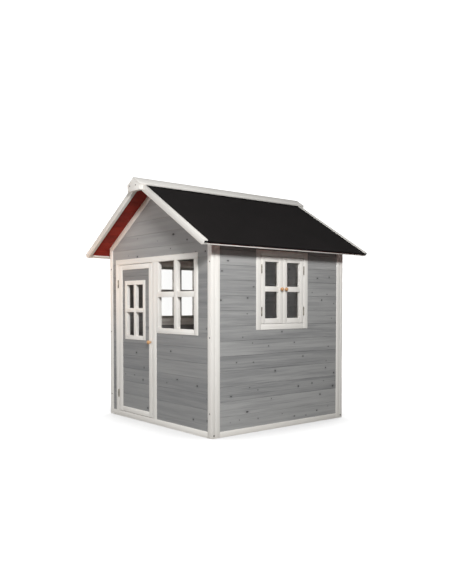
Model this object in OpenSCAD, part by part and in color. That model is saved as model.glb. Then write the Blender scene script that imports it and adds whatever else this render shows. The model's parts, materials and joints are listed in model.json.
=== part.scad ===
// Small timber playhouse: four framed board walls, a hinged front door,
// an open four-light front window, a pair of outward-opening glazed casements
// in each side wall, and a felted pitched roof. Millimetres, +Z up, the ground
// is z = 0, and the front wall faces -Y. The origin is on the ground under the
// middle of the roof.

/* [House] */
// Width of the front and back walls
wall_w = 1087; // [980:1:1200]
// Depth of the house over its walls
wall_d = 1069; // [960:1:1200]
// Height of the wall corner under the roof boards
eave_h = 1097; // [1060:1:1180]
// Pitch of the roof, in degrees
roof_pitch = 31.8; // [28:0.1:36]

/* [Timber] */
// Depth of every wall frame member
frame_t = 24; // [20:1:30]
// Face width of the front and back posts and the rakes
frame_w = 36; // [30:1:45]
// Face width of the side wall posts
side_post_w = 33; // [28:1:45]
// Height of the front and back bottom rails
front_rail_h = 34; // [28:1:45]
// Height of the side bottom rails
side_rail_h = 31; // [26:1:45]
// Thickness of the wall boards
board_t = 12; // [9:1:15]
// Visible height of one wall board
board_pitch = 83.4; // [70:0.1:110]
// Height of the lowest board joint in the side walls
side_joint_z = 108; // [70:1:120]
// Height of the lowest board joint in the front and back walls
front_joint_z = 69; // [50:1:110]
// How far the boards lie behind the frame
board_recess = 3; // [2:0.5:6]
// Width of the chamfer along each board edge
board_chamfer = 1; // [0.8:0.1:3]
// Gap between neighbouring boards, and between the parts of a sash or window frame
joint_gap = 0.3; // [0.2:0.1:1]
// Width of the cleats that the board ends are nailed to, inside the walls
cleat_w = 20; // [16:1:30]

/* [Door] */
// Left edge of the door post, from the left wall face
door_post_x = 76; // [60:1:90]
// Face width of the door post
door_post_w = 34; // [28:1:40]
// Width of the door leaf
door_w = 392; // [360:1:420]
// Height of the underside of the head rail
head_z = 981; // [940:1:1000]
// Height of the head rail
head_h = 33; // [28:1:45]
// Gap around the door leaf
door_gap = 2; // [1.5:0.5:4]
// Thickness of the door and sash members
leaf_t = 22; // [18:1:24]
// Face width of the door stile on the hinge side
door_hinge_stile_w = 46; // [36:1:55]
// Face width of the door stile on the knob side
door_knob_stile_w = 34; // [30:1:45]
// Height of the door rails
door_rail_h = 31; // [26:1:45]
// Height of the middle of the door knob
door_knob_z = 497; // [440:1:560]

/* [Front window] */
// Face width of the post between the door and the window
centre_post_w = 44; // [36:1:55]
// Face width of the stile beside the centre post
window_stile_l = 24; // [20:1:36]
// Clear width of the window
window_clear_w = 354; // [320:1:380]
// Face width of the right stile
window_stile_r = 36; // [28:1:45]
// Height of the underside of the window sill rail
window_sill_z = 555; // [500:1:600]
// Height of the sill rail
window_sill_h = 31; // [26:1:40]
// Face width of the window bars
window_bar_w = 32; // [24:1:36]

/* [Side windows] */
// Outer width of the fixed frame
side_frame_w = 421; // [380:1:460]
// Underside of the fixed frame
side_frame_z = 581; // [540:1:620]
// Outer height of the fixed frame
side_frame_h = 457; // [420:1:470]
// Face width of the fixed uprights
side_jamb_w = 37; // [30:1:45]
// Height of the fixed rails
side_head_h = 33; // [28:1:45]
// Face width of the sash stiles
sash_stile_w = 28; // [24:1:36]
// Height of the sash rails
sash_rail_h = 30; // [24:1:36]
// Gap around each sash
sash_gap = 2; // [1.5:0.5:3]
// Thickness of the acrylic sheet behind each sash
glazing_t = 2; // [1.5:0.5:3]

/* [Roof] */
// How far the front barge boards stand before the front wall
front_overhang = 124; // [100:1:150]
// How far the back barge boards stand behind the back wall
back_overhang = 114; // [90:1:150]
// Slope length of the roof boards
roof_slope = 749; // [700:1:800]
// Thickness of the roof boards
roof_board_t = 12; // [9:1:15]
// Thickness of the roofing felt
felt_t = 2; // [1.5:0.5:3]
// How far the felt turns down over the eaves
felt_lip = 10; // [6:1:12]
// Thickness of the battens under the eaves
eave_batten_t = 6; // [4:1:16]
// Face width of the barge boards
barge_w = 35; // [30:1:45]
// Thickness of the barge boards
barge_t = 21; // [16:1:24]
// Width of each ridge cap board
cap_w = 78; // [60:1:90]
// Thickness of the ridge cap boards
cap_t = 10; // [8:1:14]
// How far the ridge cap stands past the barge boards
cap_overhang = 26; // [15:1:40]

/* [Hardware] */
// Diameter of the door knob
door_knob_d = 24; // [20:1:30]
// Diameter of the window knobs
sash_knob_d = 21; // [16:1:24]
// Length of each butt hinge
hinge_l = 50; // [40:1:60]
// Diameter of the hinge barrel
hinge_d = 6.6; // [5:0.2:8]
// Diameter of the hinge pin
hinge_pin_d = 3; // [2.5:0.1:4]

/* [Hidden] */

$fn = 48;

trim_white = [0.90, 0.88, 0.84];
stain_grey = [0.56, 0.56, 0.55];
soffit_red = [0.45, 0.14, 0.11];
felt_black = [0.12, 0.12, 0.12];
bare_wood = [0.80, 0.62, 0.45];
clear_sheet = [0.75, 0.82, 0.85, 0.35];
zinc_grey = [0.62, 0.62, 0.60];

// Places along the depth. The roof is longer than the walls, and the origin is
// under the middle of the ridge cap.
cap_l = front_overhang + wall_d + back_overhang + 2 * cap_overhang;
front_y = front_overhang + cap_overhang - cap_l / 2;
back_y = front_y + wall_d;

// Roof lines, as heights above the ground at the middle of the house. A line
// falls by fall for each millimetre away from the middle.
fall = tan(roof_pitch);
soffit_z = eave_h + fall * wall_w / 2;
barge_proud = 5;
barge_top_z = soffit_z + (roof_board_t + felt_t + barge_proud) / cos(roof_pitch);
barge_low_z = barge_top_z - barge_w / cos(roof_pitch);
cap_top_z = barge_top_z + cap_t / cos(roof_pitch);
roof_edge_x = roof_slope * cos(roof_pitch);
roof_edge_z = soffit_z - roof_slope * sin(roof_pitch);

// Places across the front wall
half_w = wall_w / 2;
door_post_l = -half_w + door_post_x;
door_l = door_post_l + door_post_w;
centre_l = door_l + door_w + 2 * door_gap;
window_l = centre_l + centre_post_w;
glass_l = window_l + window_stile_l;
glass_r = glass_l + window_clear_w;
window_r = glass_r + window_stile_r;
head_top = head_z + head_h;
leaf_l = door_l + door_gap;
leaf_r = leaf_l + door_w;
leaf_z0 = front_rail_h + 3;
leaf_z1 = head_z - 3;
rake_low_z = soffit_z - frame_w / cos(roof_pitch);
// How far the boards and cleats of a gable stay below its rakes
rake_fit = 0.2;

// The joint between the wall boards and the gable boards of the front wall
gable_z = front_joint_z
    + board_pitch * round((head_top - front_joint_z) / board_pitch);

// The small window in the door
door_win_w = 238;
door_win_h = 371;
door_win_z = 505;
door_win_frame = 26;
door_bar_w = 25;
door_win_l = leaf_l + 78;
door_win_r = door_win_l + door_win_w;
door_win_top = door_win_z + door_win_h;

// Places along the side walls, from the middle of the house depth
side_mid_y = (front_y + back_y) / 2;
side_l = wall_d - 2 * frame_t;
side_open_z0 = side_frame_z + side_head_h;
side_open_z1 = side_frame_z + side_frame_h - side_head_h;
sash_z0 = side_open_z0 + sash_gap;
sash_z1 = side_open_z1 - sash_gap;
sash_w = (side_frame_w - 2 * side_jamb_w - 3 * sash_gap) / 2;
sash_frame_t = leaf_t - glazing_t;
meeting_stile_w = sash_stile_w + 5;
sash_bar_z = sash_z0 + 185;

// Butt hinges: the pin line stands before the wall face, over the gap
pin_forward = hinge_d / 2 + 0.2;
hinge_leaf_t = 0.7;
hinge_leaf_l = 19;
pin_clearance = 0.05;
knuckle_gap = 0.3;
door_hinge_z = [148, 858];
sash_hinge_z = [686, 930];

// ---------------------------------------------------------------- basic shapes

// A block between two opposite corners
module block(a, b) {
    translate(a)
        cube(b - a);
}

// A flat outline in X and Z, thickened along +Y from y0
module slab(y0, t, points) {
    translate([0, y0 + t, 0])
        rotate([90, 0, 0])
            linear_extrude(t)
                polygon(points);
}

module mirrored_pair() {
    children();
    mirror([1, 0, 0])
        children();
}

// Outline of a tongued and grooved board, X through its thickness and Y across
// its width: the tongue is on the high edge, the V-shaped joint on the face x = 0
module board_outline(z0, z1) {
    c = board_chamfer;
    tongue_x0 = board_t / 3;
    tongue_x1 = 2 * board_t / 3;
    tongue_h = 5;
    play = 0.2;
    polygon([
        [0, z0 + c], [c, z0], [tongue_x0 - play, z0],
        [tongue_x0 - play, z0 + tongue_h + play], [tongue_x1 + play, z0 + tongue_h + play],
        [tongue_x1 + play, z0], [board_t, z0],
        [board_t, z1], [tongue_x1, z1], [tongue_x1, z1 + tongue_h],
        [tongue_x0, z1 + tongue_h], [tongue_x0, z1], [c, z1], [0, z1 - c]
    ]);
}

// Rows of boards along +X that fill the height from z0 to z1, with their outer
// face on y = 0 and one of their joints at joint_z
module board_rows(x0, x1, z0, z1, joint_z) {
    first = floor((z0 - joint_z) / board_pitch);
    last = ceil((z1 - joint_z) / board_pitch) - 1;
    intersection() {
        for (row = [first : last])
            translate([x0, 0, 0])
                rotate([90, 0, 90])
                    linear_extrude(x1 - x0)
                        board_outline(joint_z + row * board_pitch + joint_gap / 2,
                                      joint_z + (row + 1) * board_pitch - joint_gap / 2);
        block([x0, -1, z0], [x1, board_t + 1, z1]);
    }
}

// Stands a piece drawn in X and Z on the right wall: its X runs along the wall
// towards the back, and its outer face y = 0 becomes the wall's outer face
module on_right_wall() {
    translate([half_w, side_mid_y, 0])
        rotate([0, 0, 90])
            children();
}

module on_left_wall() {
    mirror([1, 0, 0])
        on_right_wall()
            children();
}

// A roof piece drawn with X down the slope, Y along the ridge and Z out of the
// roof, measured from the ridge line of the soffit
module on_right_slope() {
    translate([0, 0, soffit_z])
        rotate([0, roof_pitch, 0])
            children();
}

// -------------------------------------------------------------- gable end walls

// Post under the lower end of a rake, with its mitred top
module corner_post(y0) {
    slab(y0, frame_t, [
        [half_w - frame_w, 0], [half_w, 0], [half_w, eave_h],
        [half_w - frame_w, rake_low_z - fall * (half_w - frame_w)]
    ]);
}

// Sloping rail along the top of a gable
module rake_rail(y0) {
    gap = joint_gap / 2;
    slab(y0, frame_t, [
        [gap, rake_low_z - fall * gap],
        [half_w - frame_w, rake_low_z - fall * (half_w - frame_w)],
        [half_w, eave_h], [gap, soffit_z - fall * gap]
    ]);
}

// The space inside the rakes of a gable end, above z0
module inside_rakes(z0) {
    half = half_w - frame_w;
    top = rake_low_z - rake_fit;
    slab(-1, frame_t, [
        [-half, z0], [half, z0], [half, top - fall * half], [0, top], [-half, top - fall * half]
    ]);
}

module gable_boards(z0) {
    intersection() {
        board_rows(-half_w + frame_w, half_w - frame_w, z0, rake_low_z, front_joint_z);
        inside_rakes(z0);
    }
}

module front_corner_posts() {
    color(trim_white)
        mirrored_pair()
            corner_post(front_y);
}

module back_corner_posts() {
    color(trim_white)
        mirrored_pair()
            corner_post(back_y - frame_t);
}

module front_rake_rails() {
    color(trim_white)
        mirrored_pair()
            rake_rail(front_y);
}

module back_rake_rails() {
    color(trim_white)
        mirrored_pair()
            rake_rail(back_y - frame_t);
}

module front_bottom_rail() {
    color(trim_white)
        block([-half_w + frame_w, front_y, 0],
              [half_w - frame_w, front_y + frame_t, front_rail_h]);
}

module back_bottom_rail() {
    color(trim_white)
        block([-half_w + frame_w, back_y - frame_t, 0],
              [half_w - frame_w, back_y, front_rail_h]);
}

module back_wall_boards() {
    color(stain_grey)
        translate([0, back_y - board_recess, 0])
            rotate([0, 0, 180])
                gable_boards(front_rail_h);
}

// ----------------------------------------------------------------- front wall

module front_head_rail() {
    color(trim_white)
        block([door_post_l, front_y, head_z], [window_r, front_y + frame_t, head_top]);
}

module door_post() {
    color(trim_white)
        block([door_post_l, front_y, front_rail_h], [door_l, front_y + frame_t, head_z]);
}

module centre_post() {
    color(trim_white)
        block([centre_l, front_y, front_rail_h], [window_l, front_y + frame_t, head_z]);
}

module front_window_stiles() {
    color(trim_white) {
        block([window_l, front_y, window_sill_z + window_sill_h],
              [glass_l, front_y + frame_t, head_z]);
        block([glass_r, front_y, window_sill_z], [window_r, front_y + frame_t, head_z]);
    }
}

module front_window_sill() {
    color(trim_white)
        block([window_l, front_y, window_sill_z],
              [glass_r, front_y + frame_t, window_sill_z + window_sill_h]);
}

// One upright bar, and a level bar in two lengths beside it
module front_window_bars() {
    mid_x = (glass_l + glass_r) / 2;
    low = window_sill_z + window_sill_h;
    mid_z = (low + head_z) / 2 + 2;
    half_bar = window_bar_w / 2;
    color(trim_white) {
        block([mid_x - half_bar, front_y, low], [mid_x + half_bar, front_y + frame_t, head_z]);
        block([glass_l, front_y, mid_z - half_bar],
              [mid_x - half_bar - joint_gap, front_y + frame_t, mid_z + half_bar]);
        block([mid_x + half_bar + joint_gap, front_y, mid_z - half_bar],
              [glass_r, front_y + frame_t, mid_z + half_bar]);
    }
}

// The boards right of the door are cut away around the window
module front_wall_boards() {
    in_l = -half_w + frame_w;
    in_r = half_w - frame_w;
    color(stain_grey) {
        translate([0, front_y + board_recess, 0])
            board_rows(in_l, door_post_l, front_rail_h, gable_z, front_joint_z);
        difference() {
            translate([0, front_y + board_recess, 0])
                board_rows(window_l, in_r, front_rail_h, gable_z, front_joint_z);
            block([window_l - 1, front_y - 1, window_sill_z],
                  [window_r, front_y + frame_t, head_top + 1]);
        }
    }
}

// The lowest gable board is cut away around the head rail
module front_gable_boards() {
    color(stain_grey)
        difference() {
            translate([0, front_y + board_recess, 0])
                gable_boards(gable_z);
            block([door_post_l, front_y - 1, head_z - 10],
                  [window_r, front_y + frame_t, head_top]);
        }
}

// ------------------------------------------------------------------ side walls

module side_posts() {
    for (end = [-1, 1])
        translate([end * (side_l - side_post_w) / 2 - side_post_w / 2, 0, 0])
            cube([side_post_w, frame_t, eave_h]);
}

module side_rails() {
    half = side_l / 2 - side_post_w;
    block([-half, 0, 0], [half, frame_t, side_rail_h]);
    block([-half, 0, eave_h - frame_w], [half, frame_t, eave_h]);
}

// The boards are cut away around the outside of the window frame
module side_boards() {
    half = side_l / 2 - side_post_w;
    difference() {
        translate([0, board_recess, 0])
            board_rows(-half, half, side_rail_h, eave_h - frame_w, side_joint_z);
        block([-side_frame_w / 2, -1, side_frame_z],
              [side_frame_w / 2, frame_t + 1, side_frame_z + side_frame_h]);
    }
}

module side_window_frame() {
    half = side_frame_w / 2;
    top = side_frame_z + side_frame_h;
    for (end = [-1, 1])
        translate([end * (half - side_jamb_w / 2) - side_jamb_w / 2, 0, side_frame_z])
            cube([side_jamb_w, frame_t, side_frame_h]);
    rail_half = half - side_jamb_w - joint_gap;
    for (z = [side_frame_z, top - side_head_h])
        block([-rail_half, 0, z], [rail_half, frame_t, z + side_head_h]);
}

module right_wall_posts() {
    color(trim_white)
        on_right_wall()
            side_posts();
}

module right_wall_rails() {
    color(trim_white)
        on_right_wall()
            side_rails();
}

module right_wall_boards() {
    color(stain_grey)
        on_right_wall()
            side_boards();
}

module right_window_frame() {
    color(trim_white)
        on_right_wall()
            side_window_frame();
}

module left_wall_posts() {
    color(trim_white)
        on_left_wall()
            side_posts();
}

module left_wall_rails() {
    color(trim_white)
        on_left_wall()
            side_rails();
}

module left_wall_boards() {
    color(stain_grey)
        on_left_wall()
            side_boards();
}

module left_window_frame() {
    color(trim_white)
        on_left_wall()
            side_window_frame();
}

cleat_gap = 0.5;

// An upright strip behind the boards, in the X and Z of a wall whose outer face
// is y = 0
module cleat(x0, w, z0, z1) {
    block([x0, board_recess + board_t, z0], [x0 + w, frame_t, z1]);
}

// Strips behind the boards under both rakes of a gable
module rake_cleats() {
    low = cleat_w / cos(roof_pitch);
    start = cleat_w / 2;
    end = half_w - frame_w - cleat_w;
    start_z = rake_low_z - rake_fit - fall * start;
    end_z = rake_low_z - rake_fit - fall * end;
    mirrored_pair()
        slab(board_recess + board_t, frame_t - board_recess - board_t,
             [[start, start_z - low], [end, end_z - low], [end, end_z], [start, start_z]]);
}

// The upright strip in the middle of a gable end, between the two sloping ones
module middle_cleat(z0) {
    w = cleat_w - 2 * cleat_gap;
    cleat(-w / 2, w, z0, rake_low_z - cleat_w);
}

module front_cleats() {
    in_x = half_w - frame_w;
    cleat(-in_x, door_post_l + in_x, front_rail_h, head_top);
    cleat(window_l, cleat_w, front_rail_h, window_sill_z);
    cleat(in_x - cleat_w, cleat_w, front_rail_h, head_top);
    middle_cleat(head_top);
    rake_cleats();
}

module back_cleats() {
    in_x = half_w - frame_w;
    for (end = [-1, 1])
        cleat(end * (in_x - cleat_w / 2) - cleat_w / 2, cleat_w, front_rail_h, head_top);
    middle_cleat(front_rail_h);
    rake_cleats();
}

module side_cleats() {
    end_x = side_l / 2 - side_post_w - cleat_w;
    jamb_x = side_frame_w / 2;
    for (x = [-end_x - cleat_w, -jamb_x - cleat_w, jamb_x, end_x])
        cleat(x, cleat_w, side_rail_h, eave_h - frame_w);
}

module wall_cleats() {
    color(bare_wood) {
        translate([0, front_y, 0])
            front_cleats();
        translate([0, back_y, 0])
            rotate([0, 0, 180])
                back_cleats();
        on_right_wall()
            side_cleats();
        on_left_wall()
            side_cleats();
    }
}

// Strips on the inside of the frames, which the door and the sashes close on
stop_t = 12;
stop_lap = 7;
stop_on_frame = 12;
stop_on_post = 20;
stop_end_gap = 8;

module side_window_stops() {
    half = side_frame_w / 2 - side_jamb_w;
    block([-half, frame_t, side_open_z1 - stop_lap - sash_gap],
          [half, frame_t + stop_t, side_open_z1 + stop_on_frame]);
    block([-half, frame_t, side_open_z0 - stop_on_frame],
          [half, frame_t + stop_t, side_open_z0 + stop_lap + sash_gap]);
}

module stop_strips() {
    color(trim_white) {
        block([centre_l - door_gap - stop_lap, front_y + frame_t, leaf_z0 + stop_end_gap],
              [centre_l + stop_on_post, front_y + frame_t + stop_t, leaf_z1 - stop_end_gap]);
        on_right_wall()
            side_window_stops();
        on_left_wall()
            side_window_stops();
    }
}

// A screw along its own -Z, with its head sunk into the wood at z = 0
screw_d = 4;
screw_head_d = 8;
screw_head_proud = 0.5;
screw_head_sunk = 0.9;

module screw(length) {
    translate([0, 0, -screw_head_sunk])
        cylinder(h = screw_head_sunk + screw_head_proud, d = screw_head_d);
    translate([0, 0, -length])
        cylinder(h = length - screw_head_sunk, d = screw_d);
}

corner_screw_l = 50;
corner_screw_z = [134, 546, 957];
corner_screw_in = 18;
foot_screw_l = 60;
foot_screw_in = 15;
foot_screw_z = 16;
// Places of the two screws in each ridge end block, from the middle of the block
block_screw_l = 40;
block_screw_x = [-41, 24];
block_screw_z = 1418;

module wall_screws() {
    color(zinc_grey) {
        mirrored_pair() {
            for (z = corner_screw_z) {
                translate([half_w - corner_screw_in, front_y, z])
                    rotate([90, 0, 0])
                        screw(corner_screw_l);
                translate([half_w - corner_screw_in, back_y, z])
                    rotate([-90, 0, 0])
                        screw(corner_screw_l);
            }
            for (y = [front_y + foot_screw_in, back_y - foot_screw_in])
                translate([half_w, y, foot_screw_z])
                    rotate([0, 90, 0])
                        screw(foot_screw_l);
        }
        for (x = block_screw_x) {
            translate([x, -cap_l / 2, block_screw_z])
                rotate([90, 0, 0])
                    screw(block_screw_l);
            translate([-x, cap_l / 2, block_screw_z])
                rotate([-90, 0, 0])
                    screw(block_screw_l);
        }
    }
}

// ------------------------------------------------------------------------ roof

roof_y0 = front_y - front_overhang + barge_t;
roof_y1 = back_y + back_overhang - barge_t;
eave_batten_w = 24;
cross_batten = 24;

// The boards run along the ridge, with their V-shaped joints on the underside
module slope_boards() {
    count = round(roof_slope / board_pitch);
    pitch = roof_slope / count;
    translate([0, roof_y1, 0])
        rotate([90, 0, 0])
            linear_extrude(roof_y1 - roof_y0)
                intersection() {
                    for (row = [0 : count - 1])
                        mirror([1, -1])
                            board_outline(row * pitch + joint_gap / 2,
                                          (row + 1) * pitch - joint_gap / 2);
                    translate([joint_gap / 2, 0])
                        square([roof_slope - joint_gap / 2, roof_board_t]);
                }
}

// The felt lies on the boards, and turns down over their outer edge and the ends
// of the barge boards
module slope_felt() {
    top = roof_board_t + felt_t;
    translate([0, roof_y1, 0])
        rotate([90, 0, 0])
            linear_extrude(roof_y1 - roof_y0)
                polygon([
                    [roof_board_t * fall, roof_board_t], [roof_slope, roof_board_t],
                    [roof_slope, top], [top * fall, top]
                ]);
    block([roof_slope, roof_y0 - barge_t, top - felt_lip],
          [roof_slope + felt_t, roof_y1 + barge_t, top]);
}

module slope_eave_batten() {
    block([roof_slope - eave_batten_w, roof_y0, -eave_batten_t],
          [roof_slope, roof_y1, 0]);
}

// Battens across the boards, inside each gable and in the middle of the roof
module slope_cross_battens() {
    ridge_space = 40;
    wall_space = 30;
    x0 = ridge_space;
    x1 = (half_w - frame_t) / cos(roof_pitch) - wall_space;
    for (y = [front_y + frame_t, side_mid_y - cross_batten / 2,
              back_y - frame_t - cross_batten])
        block([x0, y, -cross_batten], [x1, y + cross_batten, 0]);
}

module left_roof_boards() {
    color(soffit_red)
        mirror([1, 0, 0])
            on_right_slope()
                slope_boards();
}

module right_roof_boards() {
    color(soffit_red)
        on_right_slope()
            slope_boards();
}

module left_roof_felt() {
    color(felt_black)
        mirror([1, 0, 0])
            on_right_slope()
                slope_felt();
}

module right_roof_felt() {
    color(felt_black)
        on_right_slope()
            slope_felt();
}

module eave_battens() {
    color(trim_white)
        mirrored_pair()
            on_right_slope()
                slope_eave_batten();
}

module roof_cross_battens() {
    color(soffit_red)
        mirrored_pair()
            on_right_slope()
                slope_cross_battens();
}

// Barge board with a plumb cut at the ridge. Its tip is cut square, in line with
// the edge of the roof boards, and level with the underside of the eave batten.
module barge(y0) {
    tip_low_x = roof_edge_x - eave_batten_t * sin(roof_pitch);
    tip_low_z = roof_edge_z - eave_batten_t * cos(roof_pitch);
    tip_top = roof_board_t + felt_t + barge_proud;
    slab(y0, barge_t, [
        [0, barge_low_z], [(barge_low_z - tip_low_z) / fall, tip_low_z],
        [tip_low_x, tip_low_z],
        [roof_edge_x + tip_top * sin(roof_pitch), roof_edge_z + tip_top * cos(roof_pitch)],
        [0, barge_top_z]
    ]);
}

module front_right_barge() {
    color(trim_white)
        barge(roof_y0 - barge_t);
}

module front_left_barge() {
    color(trim_white)
        mirror([1, 0, 0])
            barge(roof_y0 - barge_t);
}

module back_right_barge() {
    color(trim_white)
        barge(roof_y1);
}

module back_left_barge() {
    color(trim_white)
        mirror([1, 0, 0])
            barge(roof_y1);
}

// The cap boards rest on the barge boards and meet on a plumb joint
module cap_board() {
    x_low = cap_w * cos(roof_pitch);
    z_low = barge_top_z - cap_w * sin(roof_pitch);
    slab(-cap_l / 2, cap_l, [
        [0, barge_top_z], [x_low, z_low],
        [x_low + cap_t * sin(roof_pitch), z_low + cap_t * cos(roof_pitch)],
        [0, cap_top_z]
    ]);
}

module right_ridge_cap() {
    color(trim_white)
        cap_board();
}

module left_ridge_cap() {
    color(trim_white)
        mirror([1, 0, 0])
            cap_board();
}

// Small block under each end of the cap, before the joint of the barge boards
module ridge_end_blocks() {
    half = cap_w * cos(roof_pitch);
    block_low_z = 1387;
    color(trim_white)
        for (y = [-cap_l / 2, cap_l / 2 - cap_overhang])
            slab(y, cap_overhang, [
                [-half, block_low_z], [half, block_low_z],
                [half, barge_top_z - fall * half], [0, barge_top_z],
                [-half, barge_top_z - fall * half]
            ]);
}

// -------------------------------------------------------------------- hardware

// Half of a butt hinge along Z, centred on z = 0, with the pin line on the
// origin. The wall face lies pin_forward behind the pin, towards +Y. The fixed
// half lies against the frame towards -X and carries the pin and end knuckles.
module hinge_fixed_half(gap) {
    third = hinge_l / 3;
    difference() {
        union() {
            block([-gap / 2, pin_forward + 0.1, -hinge_l / 2],
                  [-gap / 2 + hinge_leaf_t, pin_forward + hinge_leaf_l, hinge_l / 2]);
            for (end = [-1, 1])
                translate([0, 0, end * third])
                    block([-gap / 2, 0, -third / 2],
                          [-gap / 2 + hinge_leaf_t, pin_forward + 0.2, third / 2]);
        }
        cylinder(h = hinge_l + 2, d = hinge_d - 0.4, center = true);
    }
    for (end = [-1, 1])
        translate([0, 0, end * third - third / 2])
            cylinder(h = third, d = hinge_d);
    cylinder(h = hinge_l + 3, d = hinge_pin_d, center = true);
}

// The moving half: a leaf towards +X with the bored middle knuckle
module hinge_moving_half(gap) {
    third = hinge_l / 3;
    knuckle_l = third - 2 * knuckle_gap;
    difference() {
        union() {
            block([gap / 2 - hinge_leaf_t, pin_forward + 0.1, -hinge_l / 2],
                  [gap / 2, pin_forward + hinge_leaf_l, hinge_l / 2]);
            block([gap / 2 - hinge_leaf_t, 0, -knuckle_l / 2],
                  [gap / 2, pin_forward + 0.2, knuckle_l / 2]);
            cylinder(h = knuckle_l, d = hinge_d, center = true);
        }
        cylinder(h = hinge_l + 2, d = hinge_pin_d + 2 * pin_clearance, center = true);
    }
}

// Turned knob on a short neck, standing along +Z from its foot
module knob(d) {
    neck_d = 0.5 * d;
    neck_h = 0.2 * d;
    flatness = 0.84;
    ball_z = neck_h + flatness * d / 2;
    rotate_extrude()
        intersection() {
            union() {
                square([neck_d / 2, ball_z]);
                translate([0, ball_z])
                    scale([1, flatness])
                        circle(d = d);
            }
            square([d, 2 * d]);
        }
}

// Moves a piece drawn about a hinge's pin line to the door's pin line
module at_door_pin() {
    translate([door_l + door_gap / 2, front_y - pin_forward, 0])
        children();
}

// Moves a piece drawn about a pin line to a side window's front pin line
module at_sash_pin() {
    translate([-side_frame_w / 2 + side_jamb_w + sash_gap / 2, -pin_forward, 0])
        children();
}

module door_hinge_pins() {
    color(zinc_grey)
        at_door_pin()
            for (z = door_hinge_z)
                translate([0, 0, z])
                    hinge_fixed_half(door_gap);
}

module door_hinge_leaves() {
    color(zinc_grey)
        at_door_pin()
            for (z = door_hinge_z)
                translate([0, 0, z])
                    hinge_moving_half(door_gap);
}

module sash_fixed_hinges() {
    at_sash_pin()
        for (z = sash_hinge_z)
            translate([0, 0, z])
                hinge_fixed_half(sash_gap);
}

module window_hinge_pins() {
    color(zinc_grey) {
        on_right_wall()
            mirrored_pair()
                sash_fixed_hinges();
        on_left_wall()
            mirrored_pair()
                sash_fixed_hinges();
    }
}

// ------------------------------------------------------------------------ door

module door_stiles() {
    color(trim_white) {
        block([leaf_l, front_y, leaf_z0],
              [leaf_l + door_hinge_stile_w, front_y + leaf_t, leaf_z1]);
        block([leaf_r - door_knob_stile_w, front_y, leaf_z0],
              [leaf_r, front_y + leaf_t, leaf_z1]);
    }
}

module door_rails() {
    color(trim_white)
        for (z = [leaf_z0, leaf_z1 - door_rail_h])
            block([leaf_l + door_hinge_stile_w, front_y, z],
                  [leaf_r - door_knob_stile_w, front_y + leaf_t, z + door_rail_h]);
}

// The door's boards are cut away around its window
module door_boards() {
    x0 = leaf_l + door_hinge_stile_w;
    x1 = leaf_r - door_knob_stile_w;
    z0 = leaf_z0 + door_rail_h;
    z1 = leaf_z1 - door_rail_h;
    color(stain_grey)
        difference() {
            translate([0, front_y + board_recess, 0])
                board_rows(x0, x1, z0, z1, z0);
            block([door_win_l, front_y - 1, door_win_z],
                  [door_win_r, front_y + frame_t, door_win_top]);
        }
}

module door_window_frame() {
    color(trim_white) {
        for (x = [door_win_l, door_win_r - door_win_frame])
            block([x, front_y, door_win_z],
                  [x + door_win_frame, front_y + leaf_t, door_win_top]);
        for (z = [door_win_z, door_win_top - door_win_frame])
            block([door_win_l + door_win_frame + joint_gap, front_y, z],
                  [door_win_r - door_win_frame - joint_gap, front_y + leaf_t,
                   z + door_win_frame]);
    }
}

module door_window_bars() {
    mid_x = (door_win_l + door_win_r) / 2;
    mid_z = (door_win_z + door_win_top) / 2;
    half_bar = door_bar_w / 2;
    color(trim_white) {
        block([mid_x - half_bar, front_y, door_win_z + door_win_frame],
              [mid_x + half_bar, front_y + leaf_t, door_win_top - door_win_frame]);
        block([door_win_l + door_win_frame, front_y, mid_z - half_bar],
              [mid_x - half_bar - joint_gap, front_y + leaf_t, mid_z + half_bar]);
        block([mid_x + half_bar + joint_gap, front_y, mid_z - half_bar],
              [door_win_r - door_win_frame, front_y + leaf_t, mid_z + half_bar]);
    }
}

module door_knob() {
    color(bare_wood)
        translate([leaf_r - door_knob_stile_w / 2, front_y, door_knob_z])
            rotate([90, 0, 0])
                knob(door_knob_d);
}

// ---------------------------------------------------------------------- sashes

// The sash next to the front end of a side wall, in that wall's own X and Z,
// hung on its -X edge. The other sash of the pair is its mirror image.
sash_x0 = -side_frame_w / 2 + side_jamb_w + sash_gap;
sash_x1 = sash_x0 + sash_w;

module sash_frame() {
    in_x0 = sash_x0 + sash_stile_w;
    in_x1 = sash_x1 - meeting_stile_w;
    block([sash_x0, 0, sash_z0], [in_x0, sash_frame_t, sash_z1]);
    block([in_x1, 0, sash_z0], [sash_x1, sash_frame_t, sash_z1]);
    for (z = [sash_z0, sash_bar_z, sash_z1 - sash_rail_h])
        block([in_x0 + joint_gap, 0, z],
              [in_x1 - joint_gap, sash_frame_t, z + sash_rail_h]);
}

module sash_pane() {
    margin = 12;
    block([sash_x0 + margin, sash_frame_t, sash_z0 + margin],
          [sash_x1 - margin, leaf_t, sash_z1 - margin]);
}

module sash_knob() {
    translate([sash_x1 - meeting_stile_w / 2, 0, sash_bar_z + sash_rail_h / 2])
        rotate([90, 0, 0])
            knob(sash_knob_d);
}

module sash_moving_hinges() {
    at_sash_pin()
        for (z = sash_hinge_z)
            translate([0, 0, z])
                hinge_moving_half(sash_gap);
}

module sash_hardware() {
    color(bare_wood)
        sash_knob();
    color(zinc_grey)
        sash_moving_hinges();
}

module right_front_sash() {
    color(trim_white)
        on_right_wall()
            sash_frame();
}

module right_front_pane() {
    color(clear_sheet)
        on_right_wall()
            sash_pane();
}

module right_front_hardware() {
    on_right_wall()
        sash_hardware();
}

module right_back_sash() {
    color(trim_white)
        on_right_wall()
            mirror([1, 0, 0])
                sash_frame();
}

module right_back_pane() {
    color(clear_sheet)
        on_right_wall()
            mirror([1, 0, 0])
                sash_pane();
}

module right_back_hardware() {
    on_right_wall()
        mirror([1, 0, 0])
            sash_hardware();
}

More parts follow.
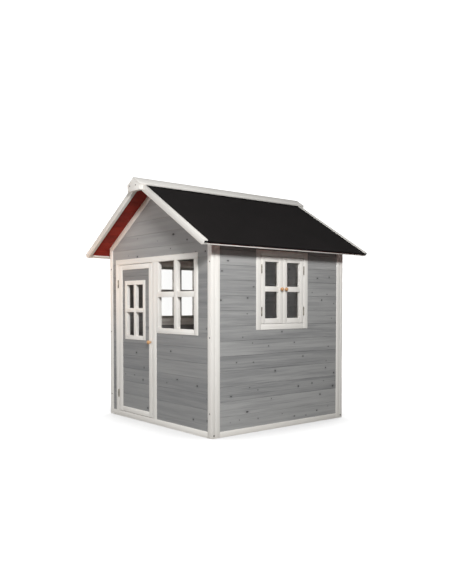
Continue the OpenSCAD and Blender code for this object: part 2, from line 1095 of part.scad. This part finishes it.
module left_front_sash() {
    color(trim_white)
        on_left_wall()
            sash_frame();
}

module left_front_pane() {
    color(clear_sheet)
        on_left_wall()
            sash_pane();
}

module left_front_hardware() {
    on_left_wall()
        sash_hardware();
}

module left_back_sash() {
    color(trim_white)
        on_left_wall()
            mirror([1, 0, 0])
                sash_frame();
}

module left_back_pane() {
    color(clear_sheet)
        on_left_wall()
            mirror([1, 0, 0])
                sash_pane();
}

module left_back_hardware() {
    on_left_wall()
        mirror([1, 0, 0])
            sash_hardware();
}

front_corner_posts();
front_bottom_rail();
front_head_rail();
front_rake_rails();
door_post();
centre_post();
front_window_stiles();
front_window_sill();
front_window_bars();
front_wall_boards();
front_gable_boards();
back_corner_posts();
back_bottom_rail();
back_rake_rails();
back_wall_boards();
left_wall_posts();
left_wall_rails();
left_wall_boards();
left_window_frame();
right_wall_posts();
right_wall_rails();
right_wall_boards();
right_window_frame();
wall_cleats();
stop_strips();
wall_screws();
left_roof_boards();
right_roof_boards();
left_roof_felt();
right_roof_felt();
eave_battens();
roof_cross_battens();
front_left_barge();
front_right_barge();
back_left_barge();
back_right_barge();
left_ridge_cap();
right_ridge_cap();
ridge_end_blocks();
door_stiles();
door_rails();
door_boards();
door_window_frame();
door_window_bars();
door_knob();
door_hinge_leaves();
door_hinge_pins();
window_hinge_pins();
right_front_sash();
right_front_pane();
right_front_hardware();
right_back_sash();
right_back_pane();
right_back_hardware();
left_front_sash();
left_front_pane();
left_front_hardware();
left_back_sash();
left_back_pane();
left_back_hardware();
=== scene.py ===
"""Looks for a small timber playhouse: stained board walls, white painted trim,
a felted roof, clear casements and small steel fittings.

Lengths are metres in the row frame: +Z up, and the front wall faces -Y.
"""
import json
import math

import bpy
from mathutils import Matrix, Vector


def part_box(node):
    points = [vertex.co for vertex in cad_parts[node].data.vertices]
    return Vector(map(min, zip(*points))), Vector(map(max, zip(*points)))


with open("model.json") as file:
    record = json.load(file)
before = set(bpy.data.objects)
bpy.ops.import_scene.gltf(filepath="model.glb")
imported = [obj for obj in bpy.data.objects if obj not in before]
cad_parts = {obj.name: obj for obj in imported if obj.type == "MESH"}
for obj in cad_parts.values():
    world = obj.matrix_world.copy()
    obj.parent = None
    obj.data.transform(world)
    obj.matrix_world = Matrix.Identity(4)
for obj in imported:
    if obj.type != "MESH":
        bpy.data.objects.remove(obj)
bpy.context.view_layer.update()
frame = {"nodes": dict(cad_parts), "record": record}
nodes = frame["nodes"]

# The rows of boards: the distance from joint to joint, and the place of one joint
BOARD_PITCH = 0.0834
SIDE_JOINT_Z = 0.108
FRONT_JOINT_Z = 0.069
DOOR_JOINT_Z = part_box("door_boards")[0].z
ROOF_SLOPE = math.radians(31.8)
ROOF_SLOPE_LENGTH = 0.749
ROOF_BOARDS = 9
ROOF_BOARD_PITCH = ROOF_SLOPE_LENGTH / ROOF_BOARDS * math.cos(ROOF_SLOPE)
BATTEN_PITCH = 0.5

# How far in from the ends of a frame its crossing pieces begin
FRONT_WINDOW_BAR_INSET = 0.161
DOOR_WINDOW_BAR_INSET = 0.0805
DOOR_WINDOW_STILE = 0.026
WALL_WINDOW_STILE = 0.037
SASH_STILE = 0.030

# Knots, and how wide the corners of painted timber are rounded
KNOT_SPACING = 0.105
KNOT_RADIUS = (0.0024, 0.0068)
KNOT_EDGE_SHARE = 0.14
ARRIS = 0.0008


def srgb(red, green, blue):
    """A colour given as 0 to 255 screen values, as linear RGBA."""
    def linear(value):
        value /= 255
        return value / 12.92 if value <= 0.04045 else ((value + 0.055) / 1.055) ** 2.4
    return linear(red), linear(green), linear(blue), 1.0


WHITE_LIGHT = srgb(241, 239, 234)
WHITE_DARK = srgb(231, 227, 221)
WHITE_DIRT = srgb(190, 184, 174)
# A greyer white for the barge boards: painted shade
SHADED_WHITE_LIGHT = srgb(227, 225, 220)
SHADED_WHITE_DARK = srgb(217, 213, 207)
GREY_LIGHT = srgb(170, 170, 169)
GREY_DARK = srgb(116, 117, 118)
# A lighter grey for the gable boards: painted light
PAINTED_LIGHT_GREY_DARK = srgb(140, 140, 141)
# A darker grey for the front and door boards: painted shade
PAINTED_SHADE_GREY_LIGHT = srgb(151, 151, 150)
PAINTED_SHADE_GREY_DARK = srgb(114, 115, 117)
GREY_KNOT = srgb(44, 42, 43)
RED_LIGHT = srgb(152, 38, 20)
RED_DARK = srgb(112, 26, 15)
RED_KNOT = srgb(40, 14, 12)
FELT_DARK = srgb(16, 14, 14)
FELT_LIGHT = srgb(29, 26, 26)
FELT_SPECK = srgb(66, 62, 60)
KNOB_LIGHT = srgb(214, 172, 124)
KNOB_DARK = srgb(176, 124, 78)
PINE_LIGHT = srgb(222, 190, 146)
PINE_DARK = srgb(186, 144, 98)
ZINC_LIGHT = srgb(186, 180, 168)
ZINC_DARK = srgb(120, 114, 104)
SCREW_LIGHT = srgb(120, 116, 112)
SCREW_DARK = srgb(58, 54, 52)
# A grey tint on the clear sheet: painted shade for the dim inside
SHADE_TINTED_CLEAR = (0.72, 0.72, 0.71, 1.0)
PURE_WHITE = (1.0, 1.0, 1.0, 1.0)

KNOB_ROUGHNESS = 0.34
KNOB_LINES_PER_M = 900.0
ZINC_ROUGHNESS = 0.42

# The room: what reflections show of it, and what the camera sees in its place
ROOM_DARK = 0.01
ROOM_BRIGHT = 0.10
ROOM_CLOUD_SCALE = 22.0
ROOM_FLOOR_HAZE = 0.05
REFLECTION_GAIN = 7.0
BACKDROP_LEVEL = 1.45

FLOOR_SIZE = 60.0
FLOOR_BOUNCE = (0.26, 0.25, 0.24, 1.0)
FLOOR_WHITE = (0.40, 0.40, 0.40, 1.0)
FLOOR_GLOW_NEAR = 0.93
FLOOR_GLOW_FAR = 1.45
FLOOR_GLOW_RAMP = (0.8, 4.0)
CONTACT_SHADOW = 0.40

# The key is low enough for the eaves to shade only the top of the right wall. The
# fill from the front is lower still, and lights the soffit and the front evenly.
LIGHTS = (
    dict(name="key", place=(3.2, -2.0, 2.35), aim=(0.4, -0.3, 0.6),
         size=(0.95, 0.55), watts=141.0),
    dict(name="front_fill", place=(-2.0, -4.2, 0.9), aim=(0.0, -0.5, 0.8),
         size=(3.0, 1.6), watts=71.0),
    dict(name="left_fill", place=(-4.2, 0.6, 1.3), aim=(-0.5, 0.0, 0.6),
         size=(3.0, 1.6), watts=100.0),
    dict(name="back_fill", place=(-1.2, 4.6, 1.3), aim=(-0.3, 0.5, 0.6),
         size=(3.0, 1.6), watts=110.0),
    dict(name="overhead", place=(0.0, 0.0, 4.5), aim=(0.0, 0.0, 0.0),
         size=(4.0, 4.0), watts=17.0),
    # Warm light that comes back from the red soffit to the left barge and rake
    dict(name="eave_glow", place=(-0.62, -1.0, 0.80), aim=(-0.42, -0.68, 1.25),
         size=(0.3, 0.2), watts=0.8, colour=(1.0, 0.55, 0.26)),
    # Hardly any lamp light comes in through clear sheet, so the inside gets its own
    dict(name="inside", place=(-0.15, -0.05, 0.75), aim=(-0.55, -0.05, 0.75),
         size=(0.4, 0.5), watts=0.2, colour=(1.0, 0.88, 0.80)),
)

CAMERA_PLACE = (3.233, -2.658, 0.729)
CAMERA_TILT = math.radians(87.90)
CAMERA_TURN = math.radians(50.36)
CAMERA_LENS_MM = 39.5
CAMERA_SENSOR_MM = 36.0
CAMERA_SHIFT_UP = 0.0608


# ------------------------------------------------------------------ node building

def feed(tree, socket, value):
    """Links a socket to another node's output, or gives it a constant."""
    if isinstance(value, bpy.types.NodeSocket):
        tree.links.new(value, socket)
    else:
        socket.default_value = value


def add_node(tree, kind, inputs=None, **settings):
    node = tree.nodes.new(kind)
    for key, value in settings.items():
        setattr(node, key, value)
    for key, value in (inputs or {}).items():
        feed(tree, node.inputs[key], value)
    return node


class Shader:
    """A material's node tree, with a short call for each kind of node."""

    def __init__(self, name):
        self.material = bpy.data.materials.new(name)
        self.material.use_nodes = True
        self.tree = self.material.node_tree
        self.surface = self.tree.nodes["Principled BSDF"]
        self.where = self.add("ShaderNodeTexCoord").outputs["Object"]
        split = self.add("ShaderNodeSeparateXYZ", {"Vector": self.where})
        self.axis = {letter: split.outputs[letter] for letter in "XYZ"}

    def add(self, kind, inputs=None, **settings):
        return add_node(self.tree, kind, inputs, **settings)

    def set(self, **values):
        """Sets sockets of the surface: base_color=... is its Base Color."""
        for key, value in values.items():
            name = key.replace("_", " ").title().replace("Ior", "IOR")
            feed(self.tree, self.surface.inputs[name], value)

    def math(self, operation, a, b=0.0, c=0.0):
        node = self.add("ShaderNodeMath", {0: a, 1: b, 2: c}, operation=operation)
        return node.outputs[0]

    def product(self, a, b):
        return self.math("MULTIPLY", a, b)

    def weigh(self, *pairs):
        """The sum of each value times its weight."""
        total = 0.0
        for value, weight in pairs:
            total = self.math("MULTIPLY_ADD", value, weight, total)
        return total

    def ease(self, value, low, high):
        """0 below low, 1 above high, and a smooth step between them."""
        node = self.add("ShaderNodeMapRange",
                        {"Value": value, "From Min": low, "From Max": high},
                        interpolation_type="SMOOTHSTEP")
        return node.outputs[0]

    def scale(self, value, low, high):
        """Maps 0..1 to low..high."""
        return self.math("MULTIPLY_ADD", value, high - low, low)

    def vector(self, x, y, z):
        return self.add("ShaderNodeCombineXYZ", {"X": x, "Y": y, "Z": z}).outputs[0]

    def turned(self, x, y, angle):
        """The coordinates x and y on axes turned by angle."""
        cos = math.cos(angle)
        sin = math.sin(angle)
        return (self.math("SUBTRACT", self.product(x, cos), self.product(y, sin)),
                self.math("ADD", self.product(x, sin), self.product(y, cos)))

    def noise(self, vector, scale=1.0, detail=2.0, roughness=0.5):
        node = self.add("ShaderNodeTexNoise",
                        {"Vector": vector, "Scale": scale, "Detail": detail,
                         "Roughness": roughness})
        return node.outputs[0]

    def streaks(self, u, v, layer, along, across, detail=2.0, roughness=0.5):
        """Noise drawn out along the grain: along and across are its features per
        metre each way, and layer tells one board from the next."""
        drawn = self.vector(self.product(u, along), self.product(v, across), layer)
        return self.noise(drawn, detail=detail, roughness=roughness)

    def random(self, value):
        """One random number for each value."""
        node = self.add("ShaderNodeTexWhiteNoise", {"W": value}, noise_dimensions="1D")
        return node.outputs["Value"]

    def choose(self, amount, a, b):
        """The number a where amount is 0, and b where it is 1."""
        node = self.add("ShaderNodeMix", {"Factor": amount, "A": a, "B": b}, data_type="FLOAT")
        return node.outputs[0]

    def mix(self, amount, a, b):
        """The colour a where amount is 0, and b where it is 1. A Mix node has
        sockets of one name for each kind of data, so the colours go by number."""
        node = self.add("ShaderNodeMix", data_type="RGBA")
        for index, value in ((0, amount), (6, a), (7, b)):
            feed(self.tree, node.inputs[index], value)
        return node.outputs[2]

    def bump(self, height, distance, strength=1.0):
        node = self.add("ShaderNodeBump", {"Height": height, "Distance": distance,
                                           "Strength": strength})
        feed(self.tree, self.surface.inputs["Normal"], node.outputs[0])


# ------------------------------------------------------------------------- timber

def board_rows(s, across, pitch, joint, seed):
    """The row that a point is in, as a number of its own, and how far into it."""
    place = s.math("DIVIDE", s.math("SUBTRACT", across, joint), pitch)
    row = s.math("FLOOR", place)
    inside = s.product(s.math("SUBTRACT", place, row), pitch)
    return s.math("MULTIPLY_ADD", row, 3.17, seed), inside


def knots(s, along, inside, row, pitch, share):
    """Knots in a board: how much of one a point is in, the stain that gathers
    round it, and an across-the-grain coordinate that flows round it."""
    cell = s.add("ShaderNodeTexVoronoi",
                 {"W": s.math("MULTIPLY_ADD", along, 1 / KNOT_SPACING, s.product(row, 11.3)),
                  "Scale": 1.0, "Randomness": 0.9},
                 voronoi_dimensions="1D")
    dice = s.add("ShaderNodeSeparateColor", {"Color": cell.outputs["Color"]}).outputs
    centre = s.scale(dice[1], pitch * KNOT_EDGE_SHARE, pitch * (1 - KNOT_EDGE_SHARE))
    radius = s.scale(s.math("POWER", dice[2], 2.0), *KNOT_RADIUS)
    stretch = s.scale(s.random(s.product(dice[2], 57.0)), 0.45, 1.25)
    run = s.product(s.product(cell.outputs["Distance"], KNOT_SPACING), stretch)
    rise = s.math("SUBTRACT", inside, centre)
    far = s.math("SQRT", s.math("ADD", s.product(run, run), s.product(rise, rise)))
    reach = s.math("DIVIDE", far, radius)
    there = s.math("LESS_THAN", dice[0], share)
    amount = s.product(s.ease(reach, 1.25, 0.55), there)
    halo = s.product(s.ease(reach, 3.4, 0.9), there)
    bend = s.math("DIVIDE", there, s.math("POWER", s.math("MAXIMUM", reach, 1.0), 2.0))
    flow = s.math("ADD", centre, s.product(rise, s.math("SUBTRACT", 1.0, bend)))
    return amount, halo, flow


def grain(s, along, flow, row):
    """Growth lines and fine streaks along the grain, both 0 to 1."""
    drift = s.streaks(along, flow, row, along=0.9, across=14.0)
    phase = s.math("MULTIPLY_ADD", flow, 620.0, s.product(drift, 46.0))
    lines = s.math("POWER", s.math("MULTIPLY_ADD", s.math("SINE", phase), 0.5, 0.5), 2.2)
    fine = s.streaks(along, flow, row, along=9.0, across=700.0, detail=3.0, roughness=0.6)
    return lines, fine


def stained_boards(name, along, across, pitch, joint, seed, light, dark, knot,
                   share=0.5, figure=1.0, flip=False):
    """Boards with a semi-transparent stain: each row has its own tone, bands, grain
    and knots. share is the share of places that hold a knot, and figure sets how
    much of the grain shows. flip counts the rows outwards from the middle."""
    s = Shader(name)
    u = s.axis[along]
    v = s.math("ABSOLUTE", s.axis[across]) if flip else s.axis[across]
    row, inside = board_rows(s, v, pitch, joint, seed)
    knot_amount, halo, flow = knots(s, u, inside, row, pitch, share)
    lines, fine = grain(s, u, flow, row)
    patches = s.streaks(u, flow, row, along=1.9, across=34.0, detail=4.0, roughness=0.62)
    bands = s.streaks(u, flow, row, along=2.6, across=150.0)
    edge = s.math("MINIMUM", inside, s.math("SUBTRACT", pitch, inside))
    tone = s.weigh((s.random(row), 0.40),
                   (s.ease(patches, 0.30, 0.72), 0.34),
                   (s.ease(bands, 0.50, 0.74), 0.17 * figure),
                   (lines, 0.07 * figure),
                   (s.math("SUBTRACT", fine, 0.5), 0.30 * figure),
                   (halo, 0.16),
                   (s.ease(edge, 0.0030, 0.0012), 0.08))
    colour = s.mix(s.ease(tone, 0.0, 1.1), light, dark)
    colour = s.mix(s.product(knot_amount, 0.85), colour, knot)
    s.set(base_color=colour, specular_ior_level=0.35,
          roughness=s.scale(s.weigh((fine, 0.6), (lines, 0.4)), 0.58, 0.78))
    s.bump(s.weigh((fine, 0.6), (lines, 0.3), (knot_amount, -0.5)),
           distance=0.0004, strength=0.45 * figure)
    return s.material


def painted_wood(name, along, across, seed, switch=None, slope=0.0,
                 light=WHITE_LIGHT, dark=WHITE_DARK):
    """White paint on planed wood, with brush marks and a faint grain along one
    axis. switch = (axis, low, high) turns the grain where that axis lies between
    the two values, for the crossing pieces of a frame. slope tips the grain down on
    both sides of the middle, by that angle."""
    s = Shader(name)
    u = s.axis[along]
    v = s.axis[across]
    if slope:
        u, v = s.turned(s.math("ABSOLUTE", u), v, slope)
    if switch:
        axis, low, high = switch
        within = s.product(s.math("GREATER_THAN", s.axis[axis], low),
                           s.math("LESS_THAN", s.axis[axis], high))
        u, v = s.choose(within, u, v), s.choose(within, v, u)
    third = next(axis for axis in "XYZ" if axis not in (along, across))
    depth = s.product(s.axis[third], 60.0)
    brush = s.streaks(u, v, depth, along=5.0, across=420.0, detail=3.0, roughness=0.6)
    rings = s.noise(s.vector(s.math("MULTIPLY_ADD", u, 2.0, seed), s.product(v, 110.0), depth))
    cloud = s.noise(s.vector(s.math("MULTIPLY_ADD", s.axis["X"], 3.0, seed),
                             s.product(s.axis["Y"], 3.0), s.product(s.axis["Z"], 3.0)),
                    detail=3.0)
    tone = s.weigh((rings, 0.5), (brush, 0.3), (cloud, 0.5))
    colour = s.mix(s.ease(tone, 0.35, 1.0), light, dark)
    near_ground = s.ease(s.math("MULTIPLY_ADD", cloud, -0.03, s.axis["Z"]), 0.035, -0.01)
    colour = s.mix(s.product(near_ground, 0.15), colour, WHITE_DIRT)
    s.set(base_color=colour, specular_ior_level=0.4, roughness=s.scale(brush, 0.42, 0.60))
    s.bump(s.weigh((brush, 0.7), (rings, 0.6)), distance=0.00025, strength=0.5)
    return s.material


def wood_look(s, along, across, light, dark, lines_per_m, roughness):
    """The colour, roughness and fine grain of wood with a clear finish."""
    u = s.axis[along]
    v = s.axis[across]
    wander = s.streaks(u, v, 3.3, along=7.0, across=40.0)
    phase = s.math("MULTIPLY_ADD", v, lines_per_m, s.product(wander, 14.0))
    lines = s.math("MULTIPLY_ADD", s.math("SINE", phase), 0.5, 0.5)
    fine = s.streaks(u, v, 1.0, along=60.0, across=1500.0, detail=3.0, roughness=0.6)
    tone = s.weigh((lines, 0.5), (fine, 0.6))
    return (s.mix(s.ease(tone, 0.1, 1.0), light, dark),
            s.scale(fine, roughness, roughness + 0.15), fine)


def bare_wood(name, light, dark, lines_per_m, roughness):
    s = Shader(name)
    colour, rough, fine = wood_look(s, "Z", "X", light, dark, lines_per_m, roughness)
    s.set(base_color=colour, roughness=rough)
    s.bump(fine, distance=0.0001, strength=0.5)
    return s.material


# ----------------------------------------------------------------- other materials

def roofing_felt():
    """Black bitumen felt with a fine mineral surface."""
    s = Shader("roofing_felt")
    grit = s.noise(s.where, scale=900.0, detail=3.0, roughness=0.7)
    cloud = s.noise(s.where, scale=3.5, detail=4.0, roughness=0.6)
    speck = s.ease(s.noise(s.where, scale=1500.0, detail=1.0), 0.60, 0.72)
    colour = s.mix(s.ease(s.weigh((grit, 0.5), (cloud, 0.7)), 0.35, 0.85), FELT_DARK, FELT_LIGHT)
    colour = s.mix(s.product(speck, 0.35), colour, FELT_SPECK)
    s.set(base_color=colour, specular_ior_level=0.1, roughness=s.scale(cloud, 0.78, 0.92))
    s.bump(s.weigh((grit, 1.0), (cloud, 0.6)), distance=0.0006, strength=0.7)
    return s.material


def acrylic():
    """Clear sheet with smears, and a slight grey tint that is painted shade, to dim the inside
    seen through it.
    """
    s = Shader("clear_acrylic")
    smear = s.noise(s.where, scale=6.0, detail=3.0, roughness=0.6)
    s.set(base_color=SHADE_TINTED_CLEAR, transmission_weight=1.0, ior=1.45,
          roughness=s.scale(smear, 0.015, 0.06))
    s.bump(smear, distance=0.0004, strength=0.3)
    return s.material


def steel_look(s, light, dark, roughness):
    """The colour, roughness and scuffs of plated steel."""
    scuff = s.noise(s.where, scale=420.0, detail=4.0, roughness=0.7)
    stain = s.noise(s.where, scale=45.0, detail=3.0, roughness=0.6)
    return (s.mix(s.ease(stain, 0.35, 0.7), light, dark),
            s.scale(scuff, roughness - 0.1, roughness + 0.12), scuff)


def steel(name, light, dark, roughness):
    s = Shader(name)
    colour, rough, scuff = steel_look(s, light, dark, roughness)
    s.set(base_color=colour, roughness=rough, metallic=1.0)
    s.bump(scuff, distance=0.00006, strength=0.6)
    return s.material


def sash_hardware(name, middle_y):
    """The knob beside the middle of a window is wood, and the hinge leaves at its
    sides are steel: one node holds both."""
    s = Shader(name)
    wood_colour, wood_rough, fine = wood_look(s, "Z", "Y", KNOB_LIGHT, KNOB_DARK,
                                              KNOB_LINES_PER_M, KNOB_ROUGHNESS)
    steel_colour, steel_rough, scuff = steel_look(s, ZINC_LIGHT, ZINC_DARK, ZINC_ROUGHNESS)
    from_middle = s.math("ABSOLUTE", s.math("SUBTRACT", s.axis["Y"], middle_y))
    hinge = s.math("GREATER_THAN", from_middle, 0.08)
    s.set(base_color=s.mix(hinge, wood_colour, steel_colour), metallic=hinge,
          roughness=s.choose(hinge, wood_rough, steel_rough))
    s.bump(s.math("ADD", fine, scuff), distance=0.00006, strength=0.5)
    return s.material


# -------------------------------------------------------- which node gets which look

def frame_switch(node, axis, inset):
    """Where the crossing pieces of a frame lie, for painted_wood."""
    low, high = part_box(node)
    index = "XYZ".index(axis)
    return axis, low[index] + inset, high[index] - inset


def dress(material, *names):
    for name in names:
        slots = nodes[name].data.materials
        slots.clear()
        slots.append(material)


def dress_boards():
    """The front and door boards get a plainer grain than the sides, and a darker grey that is
    painted shade. The gable gets the plainest grain, and a lighter grey that is painted light."""
    grey = dict(light=GREY_LIGHT, dark=GREY_DARK, knot=GREY_KNOT)
    # Darker grey on the front and door boards: painted shade
    plain_painted_shade = dict(light=PAINTED_SHADE_GREY_LIGHT, dark=PAINTED_SHADE_GREY_DARK, knot=GREY_KNOT, share=0.3, figure=0.5)
    # Lighter grey on the gable boards: painted light
    calm_painted_light = dict(light=GREY_LIGHT, dark=PAINTED_LIGHT_GREY_DARK, knot=GREY_KNOT, share=0.65, figure=0.2)
    red = dict(light=RED_LIGHT, dark=RED_DARK, knot=RED_KNOT, share=0.08, figure=0.4, flip=True)
    for node, short, joint, seed, look in (
            ("front_wall_boards", "front", FRONT_JOINT_Z, 5.0, plain_painted_shade),
            ("front_gable_boards", "gable", FRONT_JOINT_Z, 5.0, calm_painted_light),
            ("back_wall_boards", "back", FRONT_JOINT_Z, 61.0, grey),
            ("door_boards", "door", DOOR_JOINT_Z, 33.0, plain_painted_shade)):
        dress(stained_boards(f"grey_boards_{short}", "X", "Z", BOARD_PITCH, joint, seed, **look),
              node)
    for side, seed in (("right", 140.0), ("left", 210.0)):
        dress(stained_boards(f"grey_boards_{side}", "Y", "Z", BOARD_PITCH, SIDE_JOINT_Z, seed,
                             **grey), f"{side}_wall_boards")
        dress(stained_boards(f"red_boards_{side}", "Y", "X", ROOF_BOARD_PITCH, 0.0, seed + 7,
                             **red), f"{side}_roof_boards")
    dress(stained_boards("red_battens", "X", "Y", BATTEN_PITCH, BATTEN_PITCH / 2, 310.0, **red),
          "roof_cross_battens")


def dress_trim():
    """White paint, with the grain along each piece. The barge boards are a little greyer, which
    is painted shade."""
    dress(painted_wood("white_upright", "Z", "X", 1.0),
          "front_corner_posts", "back_corner_posts", "door_post", "centre_post",
          "front_window_stiles", "door_stiles")
    dress(painted_wood("white_upright_side", "Z", "Y", 4.0),
          "left_wall_posts", "right_wall_posts", "stop_strips")
    dress(painted_wood("white_level_front", "X", "Z", 7.0),
          "front_bottom_rail", "back_bottom_rail", "front_head_rail", "door_rails",
          "front_window_sill", "ridge_end_blocks")
    dress(painted_wood("white_level_side", "Y", "Z", 12.0),
          "left_wall_rails", "right_wall_rails", "eave_battens", "left_ridge_cap",
          "right_ridge_cap")
    dress(painted_wood("white_sloped", "X", "Z", 27.0, slope=ROOF_SLOPE),
          "front_rake_rails", "back_rake_rails")
    # Greyer white on the barge boards: painted shade
    dress(painted_wood("white_painted_shade", "X", "Z", 17.0, slope=ROOF_SLOPE,
                       light=SHADED_WHITE_LIGHT, dark=SHADED_WHITE_DARK),
          "front_left_barge", "front_right_barge", "back_left_barge", "back_right_barge")
    for node, along, across, seed, axis, inset in (
            ("front_window_bars", "X", "Z", 21.0, "X", FRONT_WINDOW_BAR_INSET),
            ("door_window_bars", "X", "Z", 21.0, "X", DOOR_WINDOW_BAR_INSET),
            ("door_window_frame", "Z", "X", 25.0, "X", DOOR_WINDOW_STILE),
            ("left_window_frame", "Z", "Y", 31.0, "Y", WALL_WINDOW_STILE),
            ("right_window_frame", "Z", "Y", 31.0, "Y", WALL_WINDOW_STILE),
            ("left_front_sash", "Z", "Y", 36.0, "Y", SASH_STILE),
            ("left_back_sash", "Z", "Y", 36.0, "Y", SASH_STILE),
            ("right_front_sash", "Z", "Y", 36.0, "Y", SASH_STILE),
            ("right_back_sash", "Z", "Y", 36.0, "Y", SASH_STILE)):
        switch = frame_switch(node, axis, inset)
        dress(painted_wood(f"white_{node}", along, across, seed, switch), node)


def dress_fittings():
    dress(roofing_felt(), "left_roof_felt", "right_roof_felt")
    dress(bare_wood("cleat_wood", PINE_LIGHT, PINE_DARK, 380.0, 0.6), "wall_cleats")
    dress(bare_wood("knob_wood", KNOB_LIGHT, KNOB_DARK, KNOB_LINES_PER_M, KNOB_ROUGHNESS),
          "door_knob")
    dress(steel("hinge_steel", ZINC_LIGHT, ZINC_DARK, ZINC_ROUGHNESS),
          "door_hinge_leaves", "door_hinge_pins", "window_hinge_pins")
    dress(steel("screw_steel", SCREW_LIGHT, SCREW_DARK, 0.5), "wall_screws")
    low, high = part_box("right_window_frame")
    fittings = sash_hardware("sash_hardware", (low.y + high.y) / 2)
    clear = acrylic()
    for side in ("left", "right"):
        for end in ("front", "back"):
            dress(clear, f"{side}_{end}_pane")
            dress(fittings, f"{side}_{end}_hardware")


# ------------------------------------------------------------------- softened edges

def clean_group():
    """Joins the CAD faces along their edges, so that a bevel can round them."""
    group = bpy.data.node_groups.new("clean_edges", "GeometryNodeTree")
    group.interface.new_socket("Geometry", in_out="INPUT", socket_type="NodeSocketGeometry")
    group.interface.new_socket("Geometry", in_out="OUTPUT", socket_type="NodeSocketGeometry")
    start = add_node(group, "NodeGroupInput")
    end = add_node(group, "NodeGroupOutput")
    merge = add_node(group, "GeometryNodeMergeByDistance", {"Distance": 1e-5})
    flat = add_node(group, "GeometryNodeSetShadeSmooth", {"Shade Smooth": False})
    normals = add_node(group, "GeometryNodeSetMeshNormal", {"Remove Custom": True},
                       mode="SHARPNESS")
    chain = (start, merge, flat, normals, end)
    for before, after in zip(chain, chain[1:]):
        group.links.new(before.outputs[0], after.inputs[0])
    return group


def soften(width, names):
    """Rounds the sharp edges of square-cut timber a little."""
    clean_edges = clean_group()
    for name in names:
        modifiers = nodes[name].modifiers
        modifiers.new("clean", "NODES").node_group = clean_edges
        bevel = modifiers.new("arris", "BEVEL")
        bevel.width = width
        bevel.segments = 2
        bevel.limit_method = "ANGLE"
        bevel.angle_limit = math.radians(30)


# --------------------------------------------------------------------------- studio

def seen_directly(tree):
    """1 where the camera sees a surface itself or through clear sheet, and 0
    where the surface only lights others."""
    path = add_node(tree, "ShaderNodeLightPath").outputs
    either = add_node(tree, "ShaderNodeMath",
                      {0: path["Is Camera Ray"], 1: path["Is Transmission Ray"]},
                      operation="MAXIMUM")
    return either.outputs[0]


def build_floor():
    """A pale floor that glows where nothing stands close, so that it looks white
    but for the contact shadow. What it sends back to the house is dimmer."""
    bpy.ops.mesh.primitive_plane_add(size=FLOOR_SIZE, location=(0, 0, 0))
    floor = bpy.context.object
    floor.name = "floor"
    s = Shader("studio_floor")
    seen = seen_directly(s.tree)
    away = s.add("ShaderNodeVectorMath",
                 {"Vector": s.vector(s.axis["X"], s.axis["Y"], 0.0)}, operation="LENGTH")
    open_sky = s.add("ShaderNodeAmbientOcclusion", {"Distance": CONTACT_SHADOW})
    glow = s.scale(s.ease(away.outputs["Value"], *FLOOR_GLOW_RAMP),
                   FLOOR_GLOW_NEAR, FLOOR_GLOW_FAR)
    glow = s.product(glow, open_sky.outputs["AO"])
    s.set(base_color=s.mix(seen, FLOOR_BOUNCE, FLOOR_WHITE), roughness=0.8,
          specular_ior_level=0.0, emission_color=PURE_WHITE,
          emission_strength=s.product(seen, glow))
    floor.data.materials.append(s.material)


def build_world():
    """A white backdrop. What lights the object in its place is a dim cloudy room,
    darkest low down and stronger in reflections, so that the panes look deep."""
    world = bpy.data.worlds.new("studio")
    bpy.context.scene.world = world
    world.use_nodes = True
    tree = world.node_tree

    def out(kind, inputs=None, output=0, **settings):
        return add_node(tree, kind, inputs, **settings).outputs[output]

    way = out("ShaderNodeTexCoord", output="Generated")
    clouds = out("ShaderNodeTexNoise", {"Vector": way, "Scale": ROOM_CLOUD_SCALE})
    room = out("ShaderNodeMapRange", {"Value": clouds, "From Min": 0.42, "From Max": 0.66,
                                      "To Min": ROOM_DARK, "To Max": ROOM_BRIGHT})
    height = out("ShaderNodeSeparateXYZ", {"Vector": way}, output="Z")
    lift = out("ShaderNodeMapRange", {"Value": height, "From Min": 0.0,
                                      "From Max": ROOM_FLOOR_HAZE})
    reflected = out("ShaderNodeLightPath", output="Is Glossy Ray")
    gain = out("ShaderNodeMath", {0: reflected, 1: REFLECTION_GAIN, 2: 1.0},
               operation="MULTIPLY_ADD")
    lit = out("ShaderNodeMath", {0: room, 1: gain}, operation="MULTIPLY")
    lit = out("ShaderNodeMath", {0: lit, 1: lift}, operation="MULTIPLY")
    level = out("ShaderNodeMix", {"Factor": seen_directly(tree), "A": lit, "B": BACKDROP_LEVEL})
    background = tree.nodes["Background"]
    background.inputs["Color"].default_value = PURE_WHITE
    tree.links.new(level, background.inputs["Strength"])


def area_light(name, place, aim, size, watts, colour=(1.0, 1.0, 1.0)):
    data = bpy.data.lights.new(name, "AREA")
    data.color = colour
    data.shape = "RECTANGLE"
    data.size, data.size_y = size
    data.energy = watts
    light = bpy.data.objects.new(name, data)
    bpy.context.scene.collection.objects.link(light)
    light.location = place
    target = light.location.copy()
    target.x, target.y, target.z = aim
    light.rotation_euler = (target - light.location).to_track_quat("-Z", "Y").to_euler()
    light.visible_camera = False


def build_camera():
    data = bpy.data.cameras.new("camera")
    data.lens = CAMERA_LENS_MM
    data.sensor_width = CAMERA_SENSOR_MM
    data.shift_y = CAMERA_SHIFT_UP
    camera = bpy.data.objects.new("camera", data)
    bpy.context.scene.collection.objects.link(camera)
    camera.location = CAMERA_PLACE
    camera.rotation_euler = (CAMERA_TILT, 0.0, CAMERA_TURN)
    bpy.context.scene.camera = camera


# The default view transform turns white paint grey
bpy.context.scene.view_settings.view_transform = "Standard"
build_camera()
build_floor()
build_world()
for light in LIGHTS:
    area_light(**light)

dress_boards()
dress_trim()
dress_fittings()
soften(ARRIS, [row["node"] for row in frame["record"]["subparts"]
               if row["material_slot"] == "white_painted_wood"])
